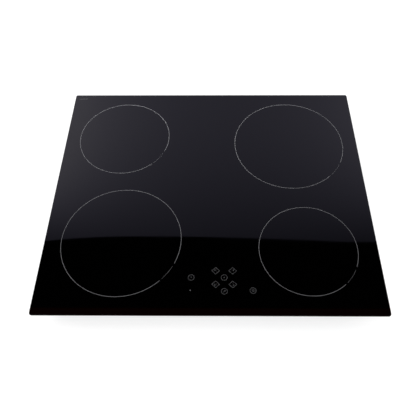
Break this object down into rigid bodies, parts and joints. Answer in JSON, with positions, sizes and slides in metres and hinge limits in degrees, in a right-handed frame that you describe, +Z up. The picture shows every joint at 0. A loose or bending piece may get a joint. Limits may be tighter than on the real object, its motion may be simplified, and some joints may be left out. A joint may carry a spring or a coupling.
{
  "type": "built-in glass hob",
  "caption": "Black glass built-in hob with printed ring zones and touch keys, a vented steel tray underneath and swing-out clamps for a worktop cut-out.",
  "frame": {"origin": "centre of the steel tray's underside, which is also the centre of the glass seen from above", "axes": "+X to the right of a person at the hob, +Y away from that person, +Z up out of the glass"},
  "size_m": [0.59, 0.496, 0.056],
  "materials": {
    "black_glass": "polished black glass-ceramic",
    "grey_enamel": "fired grey enamel print",
    "black_foam": "closed-cell foam",
    "grey_silicone": "cured silicone",
    "bright_zinc": "bright zinc plate",
    "zinc_steel": "hot-dip zinc coated sheet",
    "aluminium_sheet": "mill finish",
    "aluminium_extrusion": "extruded",
    "spring_steel": "drawn wire",
    "natural_nylon": "moulded",
    "ferrite": "sintered",
    "mica": "pressed mica sheet",
    "white_ceramic": "unglazed",
    "green_board": "solder-masked glass-fibre board",
    "black_plastic": "moulded, fine grain",
    "display_plastic": "tinted lens",
    "grey_ribbon": "flat cable sheath",
    "grey_plastic": "moulded",
    "white_plastic": "moulded",
    "cream_plastic": "glass-filled, moulded",
    "brass_screws": "turned",
    "black_rubber": "moulded",
    "wire_sheath": "silicone sleeving",
    "copper_winding": "enamelled copper strand",
    "yellow_plastic": "potted case"
  },
  "bodies": {
    "hob": {"air_ducts": "black_plastic", "base_tray": "zinc_steel", "cable_grommet": "black_rubber", "clamp_brackets": "zinc_steel", "coil_former_back_left": "cream_plastic", "coil_former_back_right": "cream_plastic", "coil_former_front_left": "cream_plastic", "coil_former_front_right": "cream_plastic", "coil_plate_left": "aluminium_sheet", "coil_plate_right": "aluminium_sheet", "coil_winding_back_left": "copper_winding", "coil_winding_back_right": "copper_winding", "coil_winding_front_left": "copper_winding", "coil_winding_front_right": "copper_winding", "fan_covers": "black_plastic", "fan_housing_left": "black_plastic", "fan_housing_right": "black_plastic", "ferrite_bars": "ferrite", "film_capacitors": "yellow_plastic", "filter_board": "green_board", "filter_chokes": "copper_winding", "fixing_screws": "bright_zinc", "glass_rail_back": "zinc_steel", "glass_rail_front": "zinc_steel", "glass_rail_left": "zinc_steel", "glass_rail_right": "zinc_steel", "glass_top": "black_glass", "heat_sink_left": "aluminium_extrusion", "heat_sink_right": "aluminium_extrusion", "key_markings": "grey_enamel", "led_displays": "display_plastic", "mica_discs": "mica", "plate_springs": "spring_steel", "power_board_left": "green_board", "power_board_right": "green_board", "power_transistors": "black_plastic", "ribbon_cable": "grey_ribbon", "ring_markings": "grey_enamel", "silicone_bonds": "grey_silicone", "spring_posts": "natural_nylon", "terminal_block": "white_plastic", "terminal_box": "grey_plastic", "terminal_screws": "brass_screws", "touch_board": "green_board", "touch_carrier": "black_plastic", "touch_pads": "black_foam", "wiring": "wire_sheath", "worktop_gasket": "black_foam", "zone_sensors": "white_ceramic"},
    "fan_left": {"fan_rotor_left": "black_plastic"},
    "fan_right": {"fan_rotor_right": "black_plastic"},
    "clamp_front_left": {"clamp_screw_front_left": "bright_zinc"},
    "claw_front_left": {"clamp_claw_front_left": "zinc_steel"},
    "clamp_front_right": {"clamp_screw_front_right": "bright_zinc"},
    "claw_front_right": {"clamp_claw_front_right": "zinc_steel"},
    "clamp_back_left": {"clamp_screw_back_left": "bright_zinc"},
    "claw_back_left": {"clamp_claw_back_left": "zinc_steel"},
    "clamp_back_right": {"clamp_screw_back_right": "bright_zinc"},
    "claw_back_right": {"clamp_claw_back_right": "zinc_steel"},
    "flap": {"terminal_flap": "grey_plastic"}
  },
  "joints": [
    {"name": "fan_left_spin", "type": "hinge", "parent": "hob", "child": "fan_left", "pos_m": [-0.165, 0.14, 0.015], "axis": [0, 0, 1], "continuous": true},
    {"name": "fan_right_spin", "type": "hinge", "parent": "hob", "child": "fan_right", "pos_m": [0.169, 0.14, 0.015], "axis": [0, 0, 1], "continuous": true},
    {"name": "clamp_front_left_swing", "type": "hinge", "parent": "hob", "child": "clamp_front_left", "pos_m": [-0.2705, -0.192, 0.008], "axis": [0, 0, -1], "range_deg": [0, 90]},
    {"name": "claw_front_left_rise", "type": "slide", "parent": "clamp_front_left", "child": "claw_front_left", "axis": [0, 0, 1], "range_m": [0, 0.027]},
    {"name": "clamp_front_right_swing", "type": "hinge", "parent": "hob", "child": "clamp_front_right", "pos_m": [0.2705, -0.192, 0.008], "axis": [0, 0, 1], "range_deg": [0, 90]},
    {"name": "claw_front_right_rise", "type": "slide", "parent": "clamp_front_right", "child": "claw_front_right", "axis": [0, 0, 1], "range_m": [0, 0.027]},
    {"name": "clamp_back_left_swing", "type": "hinge", "parent": "hob", "child": "clamp_back_left", "pos_m": [-0.2705, 0.192, 0.008], "axis": [0, 0, 1], "range_deg": [0, 90]},
    {"name": "claw_back_left_rise", "type": "slide", "parent": "clamp_back_left", "child": "claw_back_left", "axis": [0, 0, 1], "range_m": [0, 0.027]},
    {"name": "clamp_back_right_swing", "type": "hinge", "parent": "hob", "child": "clamp_back_right", "pos_m": [0.2705, 0.192, 0.008], "axis": [0, 0, -1], "range_deg": [0, 90]},
    {"name": "claw_back_right_rise", "type": "slide", "parent": "clamp_back_right", "child": "claw_back_right", "axis": [0, 0, 1], "range_m": [0, 0.027]},
    {"name": "flap_hinge", "type": "hinge", "parent": "hob", "child": "flap", "pos_m": [0.045, 0.182, 0.0027], "axis": [-1, 0, 0], "range_deg": [0, 88]}
  ]
}
